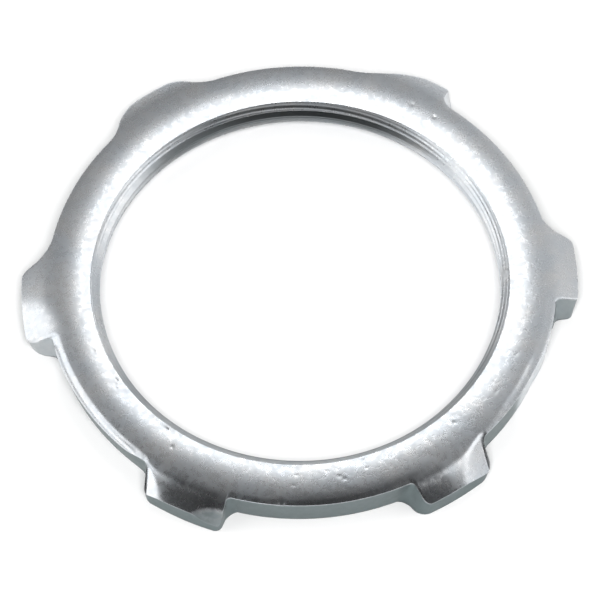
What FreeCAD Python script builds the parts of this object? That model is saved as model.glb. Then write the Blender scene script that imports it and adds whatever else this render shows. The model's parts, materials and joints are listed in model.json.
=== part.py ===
import FreeCAD, Part
import math
import os
import Sketcher

# Steel conduit locknut, trade size 2: a ring with a flat land round its mouth, a crown that falls away
# from it, a dished underside, six outward lugs that turn down towards their tips, and an internal
# straight pipe thread. It is one piece of metal. Millimetres.
# +Z runs along the thread towards the crowned face, Z = 0 is the seat, and one lug lies on +X.

DRIVING_SIZES = [
    ("lug_count", 6),
    ("threads_per_inch", 11.5),
    ("inch_length", 25.4),
    ("minor_diameter", 57.3),
    ("bore_bottom", 2.1),
    ("bore_break", 0.4),
    ("mouth_diameter", 60.0),
    ("mouth_height", 5.45),
    ("mouth_angle", 43),
    ("groove_depth", 0.8),
    ("groove_angle", 60),
    ("groove_root_width", 0.1),
    ("groove_phase", 1.47),
    ("groove_turns", 3),
    ("cutter_overlap", 0.3),
    ("ring_diameter", 72.6),
    ("land_diameter", 64.0),
    ("crown_radius", 20),
    ("lug_span", 79.2),
    ("lug_tip_height", 3.3),
    ("lug_tip_width", 12.2),
    ("lug_flank_angle", 4),
    ("edge_lean", 6),
    ("tip_lean", 1),
    ("root_radius", 1.6),
    ("corner_radius", 1.4),
    ("shoulder_radius", 0.5),
    ("seat_inner_diameter", 69.0),
]

WORKED_OUT_SIZES = [
    ("thread_pitch", "=inch_length / threads_per_inch"),
    ("bore_radius", "=minor_diameter / 2"),
    ("mouth_radius", "=mouth_diameter / 2"),
    ("land_radius", "=land_diameter / 2"),
    ("ring_radius", "=ring_diameter / 2"),
    ("crown_drop", "=crown_radius - sqrt(crown_radius^2 - (ring_radius - land_radius)^2)"),
    ("rim_height", "=mouth_height - crown_drop"),
    ("tip_radius", "=lug_span / 2"),
    ("seat_inner_radius", "=seat_inner_diameter / 2"),
    ("bore_top", "=mouth_height - (mouth_radius - bore_radius) * tan(mouth_angle * 1deg)"),
    ("dish_top_radius", "=bore_radius + bore_break"),
    ("dish_top_height", "=bore_bottom - bore_break"),
    ("tip_foot_radius", "=tip_radius - lug_tip_height * tan(tip_lean * 1deg)"),
    ("ring_foot_radius", "=ring_radius - rim_height * tan(edge_lean * 1deg)"),
    ("cut_height", "=mouth_height * 2"),
    ("gap_reach", "=tip_radius + 4"),
    ("gap_flank_angle", "=180 / lug_count + lug_flank_angle"),
    ("flank_offset", "=lug_tip_width / 2 * cos(lug_flank_angle * 1deg) + tip_radius * sin(lug_flank_angle * 1deg)"),
    ("groove_inner_radius", "=bore_radius - cutter_overlap"),
    ("groove_outer_radius", "=bore_radius + groove_depth"),
    ("groove_opening", "=groove_root_width + 2 * (groove_depth + cutter_overlap) * tan(groove_angle / 2 * 1deg)"),
    ("groove_start", "=groove_phase - thread_pitch"),
    ("groove_travel", "=groove_turns * thread_pitch"),
    ("opening_foot", "=groove_start - groove_opening / 2"),
    ("root_foot", "=groove_start - groove_root_width / 2"),
]

FULL_TURN = 360
START, END, CENTRE = 1, 2, 3
ORIGIN, ACROSS_AXIS, UP_AXIS = -1, -1, -2
UP = FreeCAD.Vector(0, 0, 1)
SHARP_BEND = 30

doc = FreeCAD.newDocument("conduit_locknut")


def make_sheet():
    sheet = doc.addObject("Spreadsheet::Sheet", "sizes")
    for row, (alias, value) in enumerate(DRIVING_SIZES + WORKED_OUT_SIZES, start=1):
        sheet.set(f"A{row}", alias)
        sheet.set(f"B{row}", str(value))
        sheet.setAlias(f"B{row}", alias)
    doc.recompute()
    return sheet


sheet = make_sheet()


def size(alias):
    return float(getattr(sheet, alias))


# Sketch helpers


def origin_feature(body, role):
    return next(o for o in body.Origin.OriginFeatures if o.Role == role)


def new_sketch(body, name, role):
    sketch = body.newObject("Sketcher::SketchObject", name)
    sketch.AttachmentSupport = [(origin_feature(body, role), "")]
    sketch.MapMode = "FlatFace"
    return sketch


def bind(sketch, name, expression, *dimension):
    """Adds a named dimension and ties it to the sheet."""
    sketch.renameConstraint(sketch.addConstraint(Sketcher.Constraint(*dimension)), name)
    sketch.setExpression(f"Constraints.{name}", expression)


def hold(sketch, edge, end, name, across, up=None):
    """Keeps one end of an edge at a distance across and up from the origin, or on the across axis."""
    bind(sketch, f"{name}_across", f"sizes.{across}", "DistanceX", ORIGIN, START, edge, end, size(across))
    if up:
        bind(sketch, f"{name}_up", f"sizes.{up}", "DistanceY", ORIGIN, START, edge, end, size(up))
    else:
        sketch.addConstraint(Sketcher.Constraint("PointOnObject", edge, end, ACROSS_AXIS))


def join(sketch, kind, meetings):
    for edge, end, next_edge, next_end in meetings:
        sketch.addConstraint(Sketcher.Constraint(kind, edge, end, next_edge, next_end))


def corner(across, up=None):
    return FreeCAD.Vector(size(across), size(up) if up else 0, 0)


def arc_about(centre, radius, first, last):
    return Part.ArcOfCircle(Part.Circle(centre, UP, radius), first, last)


def arc_over(right, left, radius):
    """An arc that bulges upwards, from its right-hand end to its left-hand end."""
    half = (left - right) / 2
    below = FreeCAD.Vector(-half.y, half.x, 0).normalize()
    centre = right + half + below * math.sqrt(radius**2 - half.Length**2)
    first, last = (math.atan2(p.y - centre.y, p.x - centre.x) for p in (right, left))
    return arc_about(centre, radius, first, last)


# The three sketches


def make_ring_section(body):
    """The ring's section out to the lug tips: bore, mouth, land, crown, lug top, tip, seat and dish."""
    sketch = new_sketch(body, "ring_section", "XZ_Plane")
    bore_foot = corner("bore_radius", "bore_bottom")
    bore_head = corner("bore_radius", "bore_top")
    mouth_edge = corner("mouth_radius", "mouth_height")
    land_edge = corner("land_radius", "mouth_height")
    rim = corner("ring_radius", "rim_height")
    tip_head = corner("tip_radius", "lug_tip_height")
    tip_foot = corner("tip_foot_radius")
    seat_edge = corner("seat_inner_radius")
    dish_top = corner("dish_top_radius", "dish_top_height")
    bore, mouth, land, crown, lug_top, tip, seat, dish, bore_edge = range(9)
    sketch.addGeometry([
        Part.LineSegment(bore_foot, bore_head),
        Part.LineSegment(bore_head, mouth_edge),
        Part.LineSegment(mouth_edge, land_edge),
        arc_over(rim, land_edge, size("crown_radius")),
        arc_over(tip_head, rim, size("crown_radius")),
        Part.LineSegment(tip_head, tip_foot),
        Part.LineSegment(tip_foot, seat_edge),
        Part.LineSegment(seat_edge, dish_top),
        Part.LineSegment(dish_top, bore_foot),
    ])
    join(sketch, "Coincident", [
        (bore, END, mouth, START),
        (mouth, END, land, START),
        (lug_top, START, tip, START),
        (tip, END, seat, START),
        (seat, END, dish, START),
        (dish, END, bore_edge, START),
        (bore_edge, END, bore, START),
    ])
    join(sketch, "Tangent", [(land, END, crown, END), (crown, START, lug_top, END)])
    sketch.addConstraint(Sketcher.Constraint("Vertical", bore))
    sketch.addConstraint(Sketcher.Constraint("Horizontal", land))
    bind(sketch, "crown", "sizes.crown_radius", "Radius", crown, size("crown_radius"))
    bind(sketch, "bore_top", "sizes.bore_top", "DistanceY", ORIGIN, START, bore, END, size("bore_top"))
    hold(sketch, bore, START, "bore_foot", "bore_radius", "bore_bottom")
    hold(sketch, mouth, END, "mouth_edge", "mouth_radius", "mouth_height")
    bind(sketch, "land_edge", "sizes.land_radius", "DistanceX", ORIGIN, START, land, END, size("land_radius"))
    bind(sketch, "rim", "sizes.ring_radius", "DistanceX", ORIGIN, START, crown, START, size("ring_radius"))
    hold(sketch, tip, START, "tip_head", "tip_radius", "lug_tip_height")
    hold(sketch, tip, END, "tip_foot", "tip_foot_radius")
    hold(sketch, dish, START, "seat_edge", "seat_inner_radius")
    hold(sketch, dish, END, "dish_top", "dish_top_radius", "dish_top_height")
    return sketch


def make_gap_outline(body):
    """The space between two lugs, in the middle of +Y: ring wall, two rounded roots and two flanks."""
    sketch = new_sketch(body, "gap_outline", "XY_Plane")
    wall_radius = size("ring_foot_radius")
    root_radius = size("root_radius")
    root_offset = size("flank_offset") + root_radius
    flank_angle = math.radians(size("gap_flank_angle"))
    flank_way = FreeCAD.Vector(math.sin(flank_angle), math.cos(flank_angle), 0)
    gap_side = FreeCAD.Vector(-math.cos(flank_angle), math.sin(flank_angle), 0)
    root_reach = math.sqrt((wall_radius + root_radius) ** 2 - root_offset**2)
    root_centre = gap_side * root_offset + flank_way * root_reach
    flank_foot = root_centre - gap_side * root_radius
    flank_end = flank_foot + flank_way * ((size("gap_reach") - flank_foot.y) / flank_way.y)
    wall_end = math.atan2(root_centre.y, root_centre.x)
    foot_turn = math.atan2(-gap_side.y, -gap_side.x)

    def mirrored(point):
        return FreeCAD.Vector(-point.x, point.y, 0)

    wall, right_root, left_root, right_flank, left_flank, outer = range(6)
    sketch.addGeometry([
        arc_about(FreeCAD.Vector(), wall_radius, wall_end, math.pi - wall_end),
        arc_about(root_centre, root_radius, wall_end + math.pi, foot_turn + 2 * math.pi),
        arc_about(mirrored(root_centre), root_radius, math.pi - foot_turn, 2 * math.pi - wall_end),
        Part.LineSegment(flank_foot, flank_end),
        Part.LineSegment(mirrored(flank_foot), mirrored(flank_end)),
        Part.LineSegment(flank_end, mirrored(flank_end)),
    ])
    join(sketch, "Tangent", [
        (wall, START, right_root, START),
        (right_root, END, right_flank, START),
        (wall, END, left_root, END),
        (left_root, START, left_flank, START),
    ])
    join(sketch, "Coincident", [
        (wall, CENTRE, ORIGIN, START),
        (right_flank, END, outer, START),
        (left_flank, END, outer, END),
    ])
    for end in (START, END):
        symmetry = Sketcher.Constraint("Symmetric", right_flank, end, left_flank, end, UP_AXIS)
        sketch.addConstraint(symmetry)
    flank_slope = math.pi / 2 - flank_angle
    bind(sketch, "wall", "sizes.ring_foot_radius", "Radius", wall, wall_radius)
    bind(sketch, "root", "sizes.root_radius", "Radius", right_root, root_radius)
    bind(sketch, "slope", "(90 - sizes.gap_flank_angle) * 1deg", "Angle", right_flank, flank_slope)
    bind(sketch, "offset", "sizes.flank_offset", "Distance", ORIGIN, START, right_flank, size("flank_offset"))
    bind(sketch, "reach", "sizes.gap_reach", "DistanceY", ORIGIN, START, outer, START, size("gap_reach"))
    return sketch


def make_groove_section(body):
    """The thread groove's section: a V with a narrow flat root, open towards the axis."""
    sketch = new_sketch(body, "groove_section", "XZ_Plane")
    inner, outer = size("groove_inner_radius"), size("groove_outer_radius")
    opening_foot, root_foot = size("opening_foot"), size("root_foot")
    corners = [
        FreeCAD.Vector(inner, opening_foot, 0),
        FreeCAD.Vector(outer, root_foot, 0),
        FreeCAD.Vector(outer, root_foot + size("groove_root_width"), 0),
        FreeCAD.Vector(inner, opening_foot + size("groove_opening"), 0),
    ]
    lower_flank, root, upper_flank, opening = range(4)
    sketch.addGeometry([Part.LineSegment(a, b) for a, b in zip(corners, corners[1:] + corners[:1])])
    join(sketch, "Coincident", [
        (lower_flank, END, root, START),
        (root, END, upper_flank, START),
        (upper_flank, END, opening, START),
        (opening, END, lower_flank, START),
    ])
    for upright in (root, opening):
        sketch.addConstraint(Sketcher.Constraint("Vertical", upright))
    hold(sketch, lower_flank, START, "opening_foot", "groove_inner_radius", "opening_foot")
    hold(sketch, lower_flank, END, "root_foot", "groove_outer_radius", "root_foot")
    root_ends = (root, START, root, END)
    bind(sketch, "root_width", "sizes.groove_root_width", "DistanceY", *root_ends, size("groove_root_width"))
    opening_ends = (opening, END, opening, START)
    bind(sketch, "opening", "sizes.groove_opening", "DistanceY", *opening_ends, size("groove_opening"))
    return sketch


# Finding edges to round


def faces_beside(edge, shape):
    return [face for face in shape.Faces if any(edge.isSame(other) for other in face.Edges)]


def radius_at(point):
    return math.hypot(point.x, point.y)


def middle_of(edge):
    return edge.valueAt((edge.FirstParameter + edge.LastParameter) / 2)


def bend_at(edge, shape):
    """The angle in degrees between the two faces that meet at an edge, 0 at a seam."""
    faces = faces_beside(edge, shape)
    if len(faces) != 2:
        return 0
    one, other = (face.normalAt(*face.Surface.parameter(middle_of(edge))) for face in faces)
    return math.degrees(one.getAngle(other))


def is_upright(edge):
    heights = [vertex.Z for vertex in edge.Vertexes]
    return max(heights) - min(heights) > size("lug_tip_height") / 2


def is_top(face):
    first_u, last_u, first_v, last_v = face.ParameterRange
    return face.normalAt((first_u + last_u) / 2, (first_v + last_v) / 2).z > 0.5


def lug_corner_edges(shape):
    """The upright edges where a lug's flanks meet its tip."""
    halfway_out = (size("tip_radius") + size("ring_radius")) / 2
    names = []
    for number, edge in enumerate(shape.Edges, start=1):
        if is_upright(edge) and radius_at(middle_of(edge)) > halfway_out:
            if bend_at(edge, shape) > SHARP_BEND:
                names.append(f"Edge{number}")
    return names


def shoulder_edges(shape):
    """The outer edges between the crowned top and the walls, round the ring and the lugs."""
    names = []
    for number, edge in enumerate(shape.Edges, start=1):
        if radius_at(middle_of(edge)) > size("ring_foot_radius"):
            if sum(is_top(face) for face in faces_beside(edge, shape)) == 1 and not is_upright(edge):
                names.append(f"Edge{number}")
    return names


# The solid


def revolve_blank(body):
    section = make_ring_section(body)
    doc.recompute()
    blank = body.newObject("PartDesign::Revolution", "ring_blank")
    blank.Profile = section
    blank.ReferenceAxis = (section, ["V_Axis"])
    blank.Angle = FULL_TURN
    doc.recompute()
    return blank


def cut_gaps(body):
    """Cuts the spaces between the lugs, with walls that lean in towards the seat."""
    outline = make_gap_outline(body)
    doc.recompute()
    cut = body.newObject("PartDesign::Pocket", "gap_cut")
    cut.Profile = outline
    cut.Reversed = True
    cut.setExpression("Length", "sizes.cut_height")
    cut.setExpression("TaperAngle", "-sizes.edge_lean")
    doc.recompute()
    gaps = body.newObject("PartDesign::PolarPattern", "gaps")
    gaps.Originals = [cut]
    gaps.Axis = (origin_feature(body, "Z_Axis"), [""])
    gaps.Angle = FULL_TURN
    gaps.setExpression("Occurrences", "sizes.lug_count")
    body.Tip = gaps
    doc.recompute()
    return gaps


def round_edges(body, base, name, edges, radius):
    fillet = body.newObject("PartDesign::Fillet", name)
    fillet.Base = (base, edges)
    fillet.setExpression("Radius", f"sizes.{radius}")
    doc.recompute()
    return fillet


def cut_thread(body):
    """Cuts the right-hand groove from below the bore up through the mouth."""
    section = make_groove_section(body)
    doc.recompute()
    thread = body.newObject("PartDesign::SubtractiveHelix", "thread")
    thread.Profile = section
    thread.ReferenceAxis = (section, ["V_Axis"])
    thread.Mode = "pitch-height-angle"
    thread.setExpression("Pitch", "sizes.thread_pitch")
    thread.setExpression("Height", "sizes.groove_travel")
    thread.Angle = 0
    doc.recompute()
    return thread


def make_locknut():
    body = doc.addObject("PartDesign::Body", "locknut")
    body.Label = "locknut"
    blank = revolve_blank(body)
    gaps = cut_gaps(body)
    corner_names = lug_corner_edges(gaps.Shape)
    corners = round_edges(body, gaps, "lug_corners", corner_names, "corner_radius")
    shoulder_names = shoulder_edges(corners.Shape)
    shoulders = round_edges(body, corners, "shoulders", shoulder_names, "shoulder_radius")
    thread = cut_thread(body)
    steps = [blank, gaps, corners, shoulders, thread]
    for before, after in zip(steps, steps[1:]):
        if not after.Shape.Volume < before.Shape.Volume:
            raise RuntimeError(f"{after.Name} took nothing away")
    if len(corner_names) != 2 * size("lug_count"):
        raise RuntimeError(f"{len(corner_names)} lug corners found")
    return body


def check(parts):
    for item in doc.Objects:
        if "Invalid" in item.State or "Error" in item.State:
            raise RuntimeError(f"{item.Name} failed: {item.State}")
    for part in parts:
        if part.Shape.isNull() or not part.Shape.isValid() or len(part.Shape.Solids) != 1:
            raise RuntimeError(f"{part.Label} is not one valid solid")
        print(part.Label, round(part.Shape.Volume), "cubic millimetres")


parts = [make_locknut()]
check(parts)
os.makedirs("parts", exist_ok=True)
for part in parts:
    part.Shape.exportStep(f"parts/{part.Label}.step")
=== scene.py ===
import json
import math
from collections import namedtuple

import bpy
import numpy as np
from mathutils import Matrix, Vector, noise


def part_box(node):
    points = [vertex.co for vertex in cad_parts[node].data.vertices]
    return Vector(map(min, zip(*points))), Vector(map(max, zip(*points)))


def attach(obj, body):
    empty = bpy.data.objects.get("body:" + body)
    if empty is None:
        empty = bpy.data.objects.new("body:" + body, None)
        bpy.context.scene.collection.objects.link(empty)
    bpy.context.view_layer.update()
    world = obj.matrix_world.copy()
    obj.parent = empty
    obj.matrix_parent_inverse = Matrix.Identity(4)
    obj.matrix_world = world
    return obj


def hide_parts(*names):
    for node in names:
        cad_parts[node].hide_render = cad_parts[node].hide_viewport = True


# A zinc-plated steel conduit locknut on a pale floor. Lengths are in millimetres until a mesh is
# made, and angles are in degrees. +Z runs along the thread, one lug points along +X, and the front is -Y.

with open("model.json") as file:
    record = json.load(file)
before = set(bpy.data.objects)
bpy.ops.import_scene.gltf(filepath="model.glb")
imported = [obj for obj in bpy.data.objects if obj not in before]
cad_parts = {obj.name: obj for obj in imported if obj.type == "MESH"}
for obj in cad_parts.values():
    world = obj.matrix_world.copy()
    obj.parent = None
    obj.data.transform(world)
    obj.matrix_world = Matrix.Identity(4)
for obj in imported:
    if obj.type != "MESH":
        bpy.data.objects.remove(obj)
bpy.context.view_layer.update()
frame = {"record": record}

MM = 0.001

# Sizes. The bore, the lugs' tips and the land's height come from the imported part. The ring and the
# mouth are a fixed way out from the bore.

low_corner, high_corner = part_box("locknut")
thread_mount = next(m for m in frame["record"]["mounts"] if m["name"] == "thread")
BORE = thread_mount["dims"]["r_mm"]
TIP = high_corner[0] / MM
LAND_HEIGHT = high_corner[2] / MM

MOUTH = BORE + 1.35
LAND = MOUTH + 1.2
NEAR_LAND = MOUTH + 0.6
RING = BORE + 7.65
MOUTH_SLOPE = math.tan(math.radians(43))
BORE_BOTTOM = 2.1
BORE_BREAK = 0.4
SEAT_INNER = 34.5
RIM_HEIGHT = LAND_HEIGHT - 0.57
RING_LEAN = 6

PITCH = 25.4 / 11.5
GROOVE_DEPTH = 0.8
GROOVE_ROOT = 0.1
GROOVE_SLOPE = math.tan(math.radians(30))
GROOVE_HEIGHT = 1.47
THREAD_EDGE = 0.07
TOOL_MARKS = 0.065
TOOL_MARK_PITCHES = (0.42, 0.61)

# The share by which the lugs' roots and corners tighten from the foot of the wall to its top, the
# radius to which the top's edge is rolled over and its slope at the edge, the length of the bend at a
# lug's root, and a tip height for between the lugs.

ROOT_TIGHTENS = 0.6
CORNER_TIGHTENS = 0.5
RING_SHOULDER = 1.9
SHOULDER_END = 26
LUG_SHOULDER = 2.4
LUG_SHOULDER_END = 7
LUG_BEND = 1.5
MIDDLING_TIP = 3.2

# The ring swells a little on two sides. A side is a direction and how far each way it starts to fade
# and is gone.

LEFT_SIDE = (208, 14, 22)
LEFT_SWELL = 0.2
RIGHT_SIDE = (344, 5, 12)
RIGHT_SWELL = 0.4
RIGHT_SHOULDER_SIDE = (337, 12, 24)

# Each lug is its clockwise flank, its other flank, and its tip. A flank has its angle at the foot, the
# radii of its outer corner and of its root, how far it leans inwards, how far back its top stands, how
# wide a facet was pressed along its top, how far the tip's wall leans in there, and how steeply its
# facet falls outwards. A tip has its height and how far it stands out. Stamping left no two alike.
# Across, every facet falls by the same slope towards its flank.

Flank = namedtuple("Flank", "angle corner root lean set_back facet undercut fall", defaults=[0.8])
Tip = namedtuple("Tip", "height reach")
FACET_SLOPE = 0.34
FACET_EDGE = 0.2
FLANK_RADIUS = 38.0
LUGS = (
    (Flank(-9.4, 0.6, 1.8, 6, 1.2, 0.0, 14), Flank(8.4, 1.2, 3.8, 27, 0.0, 0.0, 0), Tip(3.6, 0.15)),
    (Flank(52.5, 1.0, 5.6, -5, 0.0, 0.0, 0), Flank(64.9, 5.2, 3.4, 47, 0.0, 0.0, 0), Tip(3.3, -0.25)),
    (Flank(111.9, 2.2, 3.0, 37, 0.0, 0.0, 3), Flank(128.2, 3.6, 2.2, 43, 0.0, 0.0, 3), Tip(3.3, -0.25)),
    (Flank(170.2, 1.2, 4.3, 32, 0.0, 0.0, 3), Flank(190.0, 3.1, 1.4, 0, 0.9, 0.0, 13), Tip(3.6, 0.3)),
    (Flank(230.7, 0.9, 1.3, 19, 0.0, 2.2, 5), Flank(249.3, 1.1, 1.5, -8, 0.0, 0.0, -1), Tip(3.0, 0.0)),
    (Flank(290.8, 1.8, 1.5, 0, 1.2, 0.0, 1), Flank(310.1, 1.8, 1.5, 14, 0.0, 4.2, 0, 0.88), Tip(2.7, 0.0)),
)

# Knocks in the top: radius, angle, size and depth.

KNOCKS = (
    (32.4, 275.9, 0.24, 0.03), (32.9, 277.0, 0.26, 0.03), (31.7, 265.0, 0.2, 0.02),
    (33.3, 264.3, 0.22, 0.025), (31.3, 272.9, 0.18, 0.02), (30.6, 282.9, 0.2, 0.03),
    (32.0, 283.1, 0.18, 0.02), (35.7, 239.4, 0.28, 0.03), (36.6, 239.3, 0.24, 0.03),
    (36.1, 261.7, 0.45, 0.12), (34.9, 218.6, 0.26, 0.03), (30.6, 207.2, 0.2, 0.04),
    (31.1, 207.8, 0.2, 0.04), (31.4, 209.4, 0.18, 0.03), (31.5, 196.7, 0.2, 0.03),
    (34.1, 194.6, 0.25, 0.03), (30.6, 227.6, 0.22, 0.04), (32.5, 231.8, 0.24, 0.03),
    (35.7, 195.3, 0.2, 0.03), (31.3, 0.0, 0.2, 0.03), (33.2, 334.6, 0.18, 0.025),
    (31.9, 309.2, 0.22, 0.03), (33.3, 322.7, 0.22, 0.03), (34.9, 355.7, 0.24, 0.03),
    (38.2, 183.9, 0.22, 0.07), (33.7, 57.2, 0.3, 0.03), (33.5, 50.7, 0.28, 0.03),
)

# One lug's corner was pressed down, and another's torn as it was sheared. Each falls away within a
# distance of a place, given by its radius and angle.

PRESSED_PLACE = (40.6, 187.5)
PRESSED_SIZE = 3.6
PRESSED_SLOPE = 0.38
TORN_PLACE = (44.3, 248.1)
TORN_SIZE = 6.0
TORN_SLOPE = 1.19

# The mesh: columns round the nut, how much denser they are at a flank and how far to each side, and
# rows along each stretch of the section.

COLUMNS = 1400
FLANK_COLUMNS = 4.5
FLANK_REACH = 2.4
BORE_ROWS = 84
TOP_ROWS = 62
WALL_ROWS = 15
SEAT_ROWS = 12
DISH_ROWS = 14


def smooth_step(value, low, high):
    t = np.clip((value - low) / (high - low), 0, 1)
    return t * t * (3 - 2 * t)


def towards(angle, middle, inner, outer):
    """One within inner degrees of a direction, fading to nothing at outer degrees."""
    away = np.abs((np.degrees(angle) - middle + 180) % 360 - 180)
    return 1 - smooth_step(away, inner, outer)


def distance_from(x, y, place):
    """Distance from a place given by its radius and angle."""
    radius, turn = place[0], math.radians(place[1])
    return np.hypot(x - radius * math.cos(turn), y - radius * math.sin(turn))


def rounded_overlap(a, b, radius):
    """Signed distance to what two shapes share, with its corner rounded."""
    corner = np.hypot(np.maximum(a + radius, 0), np.maximum(b + radius, 0))
    return np.minimum(np.maximum(a, b), -radius) + corner


def rounded_union(a, b, radius):
    """Signed distance to two shapes joined, with the inside corner rounded."""
    corner = np.hypot(np.maximum(radius - a, 0), np.maximum(radius - b, 0))
    return np.maximum(np.minimum(a, b), radius) - corner


def flank_distance(x, y, lug, side, level):
    """Signed distance to one flank of a lug, negative on the lug's side. Level is 0 at the foot of the
    wall and 1 at its top."""
    start, end, tip = lug
    flank = start if side < 0 else end
    centre = math.radians((start.angle + end.angle) / 2)
    half = FLANK_RADIUS * math.sin(math.radians((end.angle - start.angle) / 2))
    out = x * math.cos(centre) + y * math.sin(centre)
    across = y * math.cos(centre) - x * math.sin(centre)
    lean = math.radians(flank.lean)
    edge = side * across - half + flank.set_back * level - (FLANK_RADIUS - out) * math.tan(lean)
    # The flank's line is followed only near its own lug, and anywhere else is far outside it.
    return np.where(out > 0.92 * np.hypot(x, y), edge * math.cos(lean), RING)


def outline_distance(radius, angle, level):
    """Signed distance to the nut's outline, negative inside."""
    x, y = radius * np.cos(angle), radius * np.sin(angle)
    swell = LEFT_SWELL * towards(angle, *LEFT_SIDE) + RIGHT_SWELL * towards(angle, *RIGHT_SIDE)
    shape = radius - RING - swell
    for lug in LUGS:
        start, end, tip = lug
        sides = []
        for side, flank in ((-1, start), (1, end)):
            corner = flank.corner * (1 - CORNER_TIGHTENS * level)
            to_flank = flank_distance(x, y, lug, side, level)
            sides.append(rounded_overlap(radius - TIP - tip.reach, to_flank, corner))
        lug_shape = np.maximum(*sides)
        middle = math.radians((start.angle + end.angle) / 2)
        root = np.where(np.sin(angle - middle) < 0, start.root, end.root)
        shape = rounded_union(shape, lug_shape, root * (1 - ROOT_TIGHTENS * level))
    return shape


def outline_radius(angle, level):
    """Where a ray from the axis leaves the outline, found by halving."""
    low, high = np.full_like(angle, RING - 1), np.full_like(angle, TIP + 0.8)
    for _ in range(30):
        middle = (low + high) / 2
        inside = outline_distance(middle, angle, level) < 0
        low, high = np.where(inside, middle, low), np.where(inside, high, middle)
    return (low + high) / 2


def column_angles():
    """Angles of the mesh's columns, closer together across the flanks of the lugs."""
    fine = np.linspace(0, 360, 7201)
    density = np.ones_like(fine)
    for flank in (flank for lug in LUGS for flank in lug[:2]):
        away = np.abs((fine - flank.angle + 180) % 360 - 180)
        density += FLANK_COLUMNS * np.exp(-((away / FLANK_REACH) ** 4))
    total = np.concatenate([[0], np.cumsum((density[1:] + density[:-1]) / 2)])
    return np.radians(np.interp(np.arange(COLUMNS) * total[-1] / COLUMNS, total, fine))


def turn_to_top(angle):
    """How far each column turns from the foot to the top, to follow the flanks whose top stands back."""
    turn = np.zeros_like(angle)
    for lug in LUGS:
        for side, flank in ((1, lug[0]), (-1, lug[1])):
            away = np.abs((np.degrees(angle) - flank.angle + 180) % 360 - 180)
            turn += side * flank.set_back / FLANK_RADIUS * (1 - smooth_step(away, 2, 7))
    return turn


def wall_lean(angle):
    """How far the outer wall leans in, as run over rise."""
    lean = RING_LEAN + 6 * towards(angle, *LEFT_SIDE)
    for start, end, tip in LUGS:
        turned = (np.degrees(angle) - start.angle + 180) % 360 - 180
        across = turned / (end.angle - start.angle)
        tip_lean = start.undercut + (end.undercut - start.undercut) * np.clip(across, 0, 1)
        on_lug = smooth_step(across, -0.12, 0.02) * (1 - smooth_step(across, 0.98, 1.12))
        lean += (tip_lean - lean) * on_lug
    return np.tan(np.radians(lean))


def tip_height(angle):
    """Height of the nearest lug's tip, and a middling height between lugs."""
    height = np.full_like(angle, MIDDLING_TIP)
    for start, end, tip in LUGS:
        away = np.abs((np.degrees(angle) - (start.angle + end.angle) / 2 + 180) % 360 - 180)
        height += (tip.height - height) * (1 - smooth_step(away, 14, 22))
    return height


def crown_height(radius, angle):
    """Height of the top: a flat land, an arc down to the rim, and steeper lugs. The land is narrower at
    the front."""
    near = smooth_step(np.cos(angle - math.radians(277)), 0.5, 0.87)
    land = LAND + (NEAR_LAND - LAND) * near
    drop = LAND_HEIGHT - RIM_HEIGHT
    crown_radius = ((RING - land) ** 2 + drop**2) / (2 * drop)
    centre = LAND_HEIGHT - crown_radius
    crown = centre + np.sqrt(np.maximum(crown_radius**2 - (radius - land) ** 2, 0))
    # Over a lug the slope at the rim steepens in a soft bend, and then runs nearly straight to the tip.
    slope = (RING - land) / (RIM_HEIGHT - centre)
    out = np.maximum(radius - RING, 0)
    fall = RIM_HEIGHT - tip_height(angle) - slope * (TIP - RING)
    bend = np.hypot(out, LUG_BEND) - LUG_BEND
    lug = RIM_HEIGHT - slope * out - fall * bend / (math.hypot(TIP - RING, LUG_BEND) - LUG_BEND)
    return np.where(radius < land, LAND_HEIGHT, np.where(radius < RING, crown, lug))


def roll_drop(inside, radius, end):
    """How far an edge that is rolled over to an arc has dropped, at a distance inside the edge. End is
    the arc's slope at the edge, in degrees."""
    sine = np.clip(np.sin(np.radians(end)) - np.maximum(inside, 0) / radius, 0, 1)
    return radius * (1 - np.sqrt(1 - sine**2))


def above_zero(value, softness):
    """A value where it is above zero, and nothing where it is below, with a soft bend between."""
    return (value + np.sqrt(value**2 + softness**2)) / 2


def facet_cut(x, y, radius, lug, height):
    """How much a lug's facets take off the top. Each is a plane that falls outwards and to its flank."""
    cut = 0
    out_on_lug = smooth_step(radius, RING - 1.1, RING + 0.7)
    for side, flank in ((-1, lug[0]), (1, lug[1])):
        if flank.facet:
            to_flank = flank_distance(x, y, lug, side, 1)
            near = out_on_lug * (1 - smooth_step(to_flank, -0.5, 0.8))
            fallen = FACET_SLOPE * (flank.facet + to_flank)
            facet = lug[2].height + flank.fall * (TIP - radius) - fallen
            cut += near * above_zero(height - facet, FACET_EDGE)
    return cut


def top_height(radius, angle):
    """Height of the top with its edges rolled over, as a stamping's are, and furthest on its left."""
    x, y = radius * np.cos(angle), radius * np.sin(angle)
    left, right = towards(angle, *LEFT_SIDE), towards(angle, *RIGHT_SHOULDER_SIDE)
    on_lug = smooth_step(radius, RING - 1.0, RING + 0.8)
    shoulder = RING_SHOULDER - 0.5 * left + 1.0 * right
    shoulder += (LUG_SHOULDER - shoulder) * on_lug * (1 - left)
    end = SHOULDER_END + 34 * left + 3 * right
    end += (LUG_SHOULDER_END - end) * on_lug * (1 - left)
    height = crown_height(radius, angle) - roll_drop(-outline_distance(radius, angle, 1), shoulder, end)
    for lug in LUGS:
        height -= facet_cut(x, y, radius, lug, height)
    away = distance_from(x, y, PRESSED_PLACE)
    pressed = PRESSED_SLOPE * above_zero(PRESSED_SIZE - away, 0.4 * PRESSED_SIZE)
    height -= pressed * (1 - smooth_step(away, PRESSED_SIZE, 2 * PRESSED_SIZE))
    torn = TORN_SLOPE * above_zero(TORN_SIZE - distance_from(x, y, TORN_PLACE), 0.03 * TORN_SIZE)
    return height - np.where(torn < 0.01, 0, torn)


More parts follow.
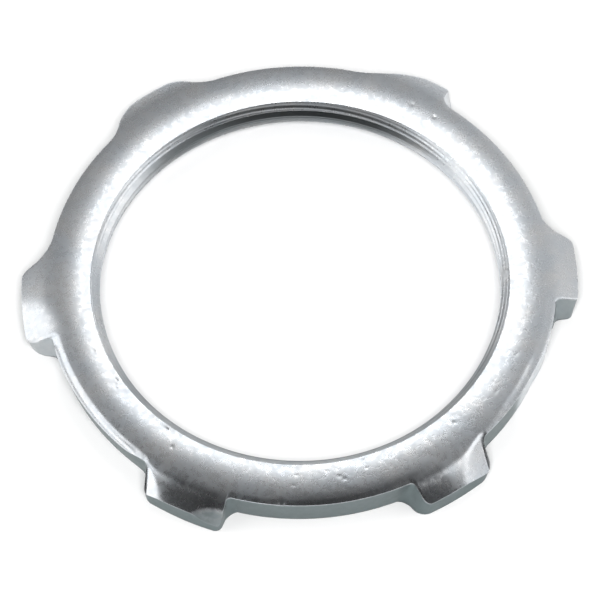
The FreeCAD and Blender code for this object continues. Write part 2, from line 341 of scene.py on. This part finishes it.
def scuffed(angle):
    """How scuffed the nut is round the ring: most at the front right, least at the far left."""
    return 0.2 + 0.8 * smooth_step(np.cos(angle - math.radians(335)), -0.2, 0.9)


def tap_dull_and_painted_shade(height, angle):
    """How dark the bore and its mouth are: a little all round where the tap left them dull, and painted
    shade over the bore's far side and the front of the bore and mouth.
    """
    # Painted shade: far darkens the bore's far side and near the front of the bore and mouth; the small
    # constants are the tap's dullness.
    far = towards(angle, 95, 28, 52)
    near = smooth_step(np.cos(angle - math.radians(270)), 0.2, 0.6)
    in_mouth = smooth_step(height, LAND_HEIGHT - 1.2, LAND_HEIGHT - 0.8)
    bore, mouth = 0.1 + 0.75 * far + 0.6 * near, 0.05 + 0.55 * near
    return bore + (mouth - bore) * in_mouth


def sheared_and_painted_light(radius, angle, on_wall):
    """How dark shearing left the outer wall and the torn corner. The wall is painted lighter where it faces
    the right and front lamps: before the right lug, on that lug's front flank, and on one flank of the next
    lug round and one of the left lug."""
    x, y = radius * np.cos(angle), radius * np.sin(angle)
    # Painted light: the wall's darkness is lifted where it faces the right and front lamps.
    wall = 1 - 0.8 * towards(angle, 336, 8, 13) - 0.25 * towards(angle, 353, 4, 7)
    wall -= 0.8 * towards(angle, 51, 3, 7) + 0.55 * towards(angle, 191, 3, 6)
    torn = 0.75 - 0.75 * smooth_step(distance_from(x, y, TORN_PLACE), TORN_SIZE - 0.3, TORN_SIZE + 0.1)
    return np.where(on_wall, wall, torn)


def painted_front_shade(radius, angle):
    """Painted shade on the front: darker by the rim between the two front lugs, and on both of them."""
    rim = smooth_step(radius, 34.0, 35.5) * towards(angle, 280, 11, 20)
    left_lug = smooth_step(radius, 35.2, 36.6) * towards(angle, 242, 4, 8)
    right_lug = smooth_step(radius, 35.2, 36.6) * towards(angle, 294, 4, 7)
    return np.maximum(rim, left_lug + right_lug)


def wave(x, y, scale, layer):
    """Smooth noise at a place, the same on every run."""
    return noise.noise((x * scale, y * scale, layer))


def worn_depth(radius, angle):
    """How far handling and tumbling have beaten the top down below its drawn height."""
    x, y = radius * np.cos(angle), radius * np.sin(angle)
    depth = np.array([
        0.02 * wave(a, b, 0.16, 3.0) + s * (0.006 * wave(a, b, 0.55, 7.0) + 0.002 * wave(a, b, 1.3, 1.0))
        for a, b, s in zip(x.tolist(), y.tolist(), scuffed(angle).tolist())
    ])
    for knock_radius, knock_angle, size, knock_depth in KNOCKS:
        away = distance_from(x, y, (knock_radius, knock_angle))
        depth += knock_depth * np.exp(-((away / size) ** 2))
    return depth * smooth_step(radius, MOUTH, MOUTH + 0.8)


def bore_radius(height, angle):
    """Radius of the bore: the crest, its chamfered mouth and the thread cut into both."""
    plain = np.maximum(BORE, MOUTH - (LAND_HEIGHT - height) / MOUTH_SLOPE)
    plain = np.maximum(plain, BORE + BORE_BREAK - (height - BORE_BOTTOM + BORE_BREAK))
    rise = GROOVE_HEIGHT + PITCH * angle / (2 * math.pi)
    from_groove = np.abs((height - rise + PITCH / 2) % PITCH - PITCH / 2)
    groove = BORE + GROOVE_DEPTH - np.maximum(from_groove - GROOVE_ROOT / 2, 0) / GROOVE_SLOPE
    # The two surfaces meet in a slightly soft edge, and the tap left fine ridges along its thread. The
    # ridges are shallower in the mouth, and fade out at its edge and at the bore's foot.
    cut = (plain + groove + np.sqrt((plain - groove) ** 2 + THREAD_EDGE**2)) / 2
    along = 2 * math.pi * (height - rise)
    fine, coarse = TOOL_MARK_PITCHES
    ridges = np.sin(along / fine) + 0.6 * np.sin(along / coarse)
    depth = 1 - 0.4 * smooth_step(height, LAND_HEIGHT - 1.4, LAND_HEIGHT - 0.9)
    depth *= 1 - smooth_step(height, LAND_HEIGHT - 0.3, LAND_HEIGHT)
    above_foot = smooth_step(height, BORE_BOTTOM, BORE_BOTTOM + 0.4)
    return cut + TOOL_MARKS * (1 + ridges / 1.6) * depth * above_foot


def eased(count, start, end):
    """Values from 0 to 1, closer together towards each end by the powers given."""
    t = np.linspace(0, 1, count)
    toward_end = 1 - (1 - t) ** end
    toward_start = t**start
    return toward_start * (1 - t) + toward_end * t


def section_rows(angle):
    """Rows of radius, angle and height round the section, from the bore's foot over the top and back."""
    turn = turn_to_top(angle)
    top_angle = angle + turn
    rim = outline_radius(top_angle, 1)
    rim_height = top_height(rim, top_angle)
    foot = outline_radius(angle, 0)
    seat = foot - rim_height * wall_lean(angle)
    rows = []
    for height in np.linspace(BORE_BOTTOM, LAND_HEIGHT, BORE_ROWS):
        rows.append(("bore", bore_radius(height, angle), angle, height))
    mouth = rows[-1][1]
    for share in eased(TOP_ROWS, 1.25, 1.9)[1:]:
        radius, row_angle = mouth + (rim - mouth) * share, angle + turn * share**2
        height = top_height(radius, row_angle) - worn_depth(radius, row_angle)
        rows.append(("top", radius, row_angle, height))
    rim_height = rows[-1][3]
    for share in np.linspace(0, 1, WALL_ROWS)[1:]:
        row_angle = top_angle - turn * share
        rows.append(("wall", rim + (seat - rim) * share, row_angle, rim_height * (1 - share)))
    for share in eased(SEAT_ROWS, 1.3, 1)[1:]:
        rows.append(("seat", seat + (SEAT_INNER - seat) * share, angle, 0))
    dish_top = BORE + BORE_BREAK
    for share in np.linspace(0, 1, DISH_ROWS)[1:]:
        radius = SEAT_INNER + (dish_top - SEAT_INNER) * share
        rows.append(("dish", radius, angle, (BORE_BOTTOM - BORE_BREAK) * share))
    for share in (0.33, 0.67):
        height = BORE_BOTTOM - BORE_BREAK * (1 - share)
        rows.append(("dish", dish_top - BORE_BREAK * share, angle, height))
    kinds = [row[0] for row in rows]
    radius, turned, height = (np.array([row[i] + 0 * angle for row in rows]) for i in (1, 2, 3))
    return kinds, radius, turned, height


def build_locknut():
    """The whole nut as one closed mesh of rings and columns, with its dullness, scuffing and painted light
    and shade held at each point.
    """
    kinds, radius, angle, height = section_rows(column_angles())
    points = np.stack([radius * np.cos(angle), radius * np.sin(angle), height], axis=-1)
    ring_count, column_count = radius.shape
    ring, column = np.meshgrid(np.arange(ring_count), np.arange(column_count), indexing="ij")
    next_ring, next_column = (ring + 1) % ring_count, (column + 1) % column_count
    faces = np.stack([
        ring * column_count + column,
        next_ring * column_count + column,
        next_ring * column_count + next_column,
        ring * column_count + next_column,
    ], axis=-1).reshape(-1, 4)
    mesh = bpy.data.meshes.new("locknut_body")
    mesh.from_pydata((points.reshape(-1, 3) * MM).tolist(), [], faces.tolist())
    mesh.update()
    mesh.shade_smooth()
    nut = bpy.data.objects.new("locknut_body", mesh)
    bpy.context.scene.collection.objects.link(nut)
    on_wall, in_bore = (np.array([kind == name for kind in kinds])[:, None] for name in ("wall", "bore"))
    # These hold painted light and shade as well: painted shade over the bore's far side and front, the
    # front rim and the two front lugs, and painted light on the walls that face the right and front lamps.
    values = {
        "sheared_and_painted_light": sheared_and_painted_light(radius, angle, on_wall),
        "tap_dull_and_painted_shade": in_bore * tap_dull_and_painted_shade(height, angle),
        "scuffed": scuffed(angle),
        "painted_front_shade": painted_front_shade(radius, angle) * (1 - on_wall) * (1 - in_bore),
    }
    for name, value in values.items():
        attribute = mesh.attributes.new(name, "FLOAT", "POINT")
        attribute.data.foreach_set("value", value.ravel().astype(np.float32))
    return nut


# Materials

RANGE_SOCKETS = ("From Min", "From Max", "To Min", "To Max")


def zinc_material():
    material = bpy.data.materials.new("zinc_plate")
    material.use_nodes = True
    nodes, links = material.node_tree.nodes, material.node_tree.links
    nodes.clear()
    output = nodes.new("ShaderNodeOutputMaterial")
    shader = nodes.new("ShaderNodeBsdfPrincipled")
    links.new(shader.outputs["BSDF"], output.inputs["Surface"])
    shader.inputs["Metallic"].default_value = 1.0

    place = nodes.new("ShaderNodeTexCoord")
    to_mm = nodes.new("ShaderNodeVectorMath")
    to_mm.operation = "SCALE"
    to_mm.inputs["Scale"].default_value = 1 / MM
    links.new(place.outputs["Object"], to_mm.inputs[0])

    def noise_node(scale, detail, roughness):
        node = nodes.new("ShaderNodeTexNoise")
        node.inputs["Scale"].default_value = scale
        node.inputs["Detail"].default_value = detail
        node.inputs["Roughness"].default_value = roughness
        links.new(to_mm.outputs[0], node.inputs["Vector"])
        return node.outputs["Fac"]

    def span(value, low, high, new_low, new_high):
        node = nodes.new("ShaderNodeMapRange")
        links.new(value, node.inputs["Value"])
        for socket, number in zip(RANGE_SOCKETS, (low, high, new_low, new_high)):
            node.inputs[socket].default_value = number
        return node.outputs["Result"]

    def arithmetic(kind, a, b):
        node = nodes.new("ShaderNodeMath")
        node.operation = kind
        for socket, value in zip(node.inputs, (a, b)):
            if isinstance(value, (int, float)):
                socket.default_value = value
            else:
                links.new(value, socket)
        return node.outputs[0]

    def mix_colour(share, a, b):
        node = nodes.new("ShaderNodeMix")
        node.data_type = "RGBA"
        links.new(share, node.inputs["Factor"])
        for socket, value in ((node.inputs[6], a), (node.inputs[7], b)):
            if isinstance(value, tuple):
                socket.default_value = (*value, 1.0)
            else:
                links.new(value, socket)
        return node.outputs[2]

    def attribute(name):
        node = nodes.new("ShaderNodeAttribute")
        node.attribute_name = name
        return node.outputs["Fac"]

    shear_and_painted_light, thread, scuffs = attribute("sheared_and_painted_light"), attribute("tap_dull_and_painted_shade"), attribute("scuffed")
    front_shade_share = attribute("painted_front_shade")
    cloud = noise_node(0.22, 3, 0.55)
    mottle = noise_node(1.1, 2, 0.55)
    grain = noise_node(6.0, 3, 0.6)

    # Colour: a bluish silver with faint warm and cool clouds, with painted shade by the front rim and on
    # the two front lugs, darker where the tap left the bore dull with painted shade over its far side and
    # front, and darker on the sheared walls, which are painted lighter where they face the right and front
    # lamps.
    tint = mix_colour(span(cloud, 0.35, 0.65, 0, 1), (0.665, 0.705, 0.745), (0.745, 0.755, 0.765))
    tint = mix_colour(span(mottle, 0.35, 0.7, 0, 0.45), tint, (0.585, 0.62, 0.66))
    front_shade_share = arithmetic("MULTIPLY", front_shade_share, span(mottle, 0.35, 0.65, 0.35, 0.75))
    # Painted shade by the front rim and on the two front lugs.
    tint = mix_colour(front_shade_share, tint, (0.16, 0.165, 0.175))
    # Dull tapped bore, with painted shade over its far side and front.
    colour = mix_colour(thread, tint, (0.12, 0.135, 0.14))
    # Darker sheared walls, painted lighter where they face the right and front lamps.
    colour = mix_colour(shear_and_painted_light, colour, (0.165, 0.20, 0.205))
    links.new(colour, shader.inputs["Base Color"])

    # Roughness: a little uneven, and duller where it was tapped or sheared.
    rough = span(mottle, 0.3, 0.7, 0.24, 0.32)
    rough = arithmetic("ADD", rough, arithmetic("MULTIPLY", shear_and_painted_light, 0.15))
    rough = arithmetic("ADD", rough, arithmetic("MULTIPLY", thread, 0.15))
    links.new(rough, shader.inputs["Roughness"])

    # Relief: faint mottling and grain in the plating, stronger where it is scuffed and weaker on the walls.
    mottle_depth = arithmetic("MULTIPLY", mottle, 0.014)
    grain_depth = arithmetic("MULTIPLY", grain, 0.0035)
    relief = arithmetic("ADD", mottle_depth, grain_depth)
    strength = arithmetic("SUBTRACT", scuffs, arithmetic("MULTIPLY", shear_and_painted_light, 0.5))
    relief = arithmetic("MULTIPLY", relief, strength)
    bump = nodes.new("ShaderNodeBump")
    bump.inputs["Strength"].default_value = 1.0
    bump.inputs["Distance"].default_value = MM
    links.new(relief, bump.inputs["Height"])
    links.new(bump.outputs["Normal"], shader.inputs["Normal"])
    return material


def floor_material():
    material = bpy.data.materials.new("pale_floor")
    material.use_nodes = True
    shader = material.node_tree.nodes["Principled BSDF"]
    shader.inputs["Base Color"].default_value = (0.93, 0.93, 0.93, 1)
    shader.inputs["Roughness"].default_value = 0.9
    shader.inputs["Specular IOR Level"].default_value = 0.1
    return material


# Stage

FLOOR_RADIUS = 6.0
FLOOR_HEIGHT = -0.0001


def add_floor():
    place = (0, 0, FLOOR_HEIGHT)
    bpy.ops.mesh.primitive_circle_add(vertices=96, radius=FLOOR_RADIUS, fill_type="NGON", location=place)
    floor = bpy.context.object
    floor.name = "floor"
    floor.data.materials.append(floor_material())
    return floor


LAMP_DISTANCE = 2.4

# The soft boxes that light the nut, and the one that lights only the floor. Each has its name, azimuth,
# elevation, spread, rise and radiance.

SOFT_BOXES = (
    ("key", 84, 58.5, 6, 5, 4.2),
    ("left_box", 168, 37, 19, 27, 1.4),
    ("left_front_box", 200, 20, 14, 12, 1.5),
    ("front_box", 260, 26, 36, 9, 0.28),
    ("right_box", -6, 38, 22, 22, 1.1),
)
FLOOR_BOX = ("floor_box", 267, 60, 14, 12, 13)


def add_softbox(name, azimuth, elevation, spread, rise, radiance):
    """A rectangular light that faces the nut, from an azimuth turned from +X. It looks spread degrees
    wide and rise degrees high from the nut, each way from its middle."""
    light = bpy.data.lights.new(name, "AREA")
    light.shape = "RECTANGLE"
    light.size = 2 * LAMP_DISTANCE * math.tan(math.radians(spread))
    light.size_y = 2 * LAMP_DISTANCE * math.tan(math.radians(rise))
    light.energy = radiance * light.size * light.size_y * math.pi
    lamp = bpy.data.objects.new(name, light)
    bpy.context.scene.collection.objects.link(lamp)
    a, e = math.radians(azimuth), math.radians(elevation)
    direction = Vector((math.cos(a) * math.cos(e), math.sin(a) * math.cos(e), math.sin(e)))
    lamp.location = direction * LAMP_DISTANCE
    lamp.rotation_mode = "QUATERNION"
    lamp.rotation_quaternion = lamp.location.to_track_quat("Z", "Y")
    return lamp


def studio_world():
    """Soft grey surroundings: paler behind the nut, to its right and low in front, and dark overhead."""
    world = bpy.data.worlds.new("studio")
    world.use_nodes = True
    nodes, links = world.node_tree.nodes, world.node_tree.links
    direction = nodes.new("ShaderNodeTexCoord")
    axes = nodes.new("ShaderNodeSeparateXYZ")
    links.new(direction.outputs["Generated"], axes.inputs[0])

    def fade(value, start, end, low, high):
        node = nodes.new("ShaderNodeMapRange")
        node.interpolation_type = "SMOOTHSTEP"
        links.new(value, node.inputs["Value"])
        for socket, number in zip(RANGE_SOCKETS, (start, end, low, high)):
            node.inputs[socket].default_value = number
        return node.outputs["Result"]

    def combine(kind, a, b):
        node = nodes.new("ShaderNodeMath")
        node.operation = kind
        links.new(a, node.inputs[0])
        links.new(b, node.inputs[1])
        return node.outputs[0]

    behind = fade(axes.outputs["Y"], 0.1, 0.45, 0.03, 0.3)
    right = fade(axes.outputs["X"], 0.12, 0.45, 0.0, 0.36)
    not_in_front = fade(axes.outputs["Y"], -0.5, -0.15, 0.0, 1.0)
    right = combine("MULTIPLY", right, not_in_front)
    in_front = fade(axes.outputs["Y"], 0.0, -0.3, 0.0, 1.0)
    low = combine("MULTIPLY", fade(axes.outputs["Z"], 0.36, 0.24, 0.0, 0.42), in_front)
    brightness = combine("ADD", combine("ADD", behind, right), low)
    links.new(brightness, nodes["Background"].inputs["Color"])
    bpy.context.scene.world = world


def add_lights(floor):
    for soft_box in SOFT_BOXES:
        add_softbox(*soft_box)
    floor_lamp = add_softbox(*FLOOR_BOX)
    lit_by_floor_lamp = bpy.data.collections.new("lit_by_floor_box")
    lit_by_floor_lamp.objects.link(floor)
    floor_lamp.light_linking.receiver_collection = lit_by_floor_lamp
    studio_world()


# Camera: a long lens from about 60 degrees up, rolled a little

CAMERA_ELEVATION = 59.95
CAMERA_ROLL = -1.13
CAMERA_TURN = -3.2
CAMERA_DISTANCE = 2150
CAMERA_LENS = 900
AIM_RIGHT, AIM_UP = 0.058, -0.148


def add_camera():
    e, roll = math.radians(CAMERA_ELEVATION), math.radians(CAMERA_ROLL)
    forward = Vector((0, math.cos(e), -math.sin(e)))
    level = Vector((1, 0, 0))
    upright = level.cross(forward)
    right = level * math.cos(roll) + upright * math.sin(roll)
    up = upright * math.cos(roll) - level * math.sin(roll)
    place = -forward * CAMERA_DISTANCE - right * AIM_RIGHT - up * AIM_UP
    view = Matrix((right, up, -forward)).transposed().to_4x4()
    data = bpy.data.cameras.new("camera")
    data.lens, data.sensor_width = CAMERA_LENS, 36
    data.clip_start, data.clip_end = 0.01, 50
    camera = bpy.data.objects.new("camera", data)
    bpy.context.scene.collection.objects.link(camera)
    turn = Matrix.Rotation(math.radians(CAMERA_TURN), 4, "Z")
    camera.matrix_world = turn @ Matrix.Translation(place * MM) @ view
    bpy.context.scene.camera = camera


add_camera()
locknut = build_locknut()
locknut.data.materials.append(zinc_material())
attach(locknut, "root")
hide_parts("locknut")
add_lights(add_floor())
bpy.context.scene.view_settings.view_transform = "Standard"
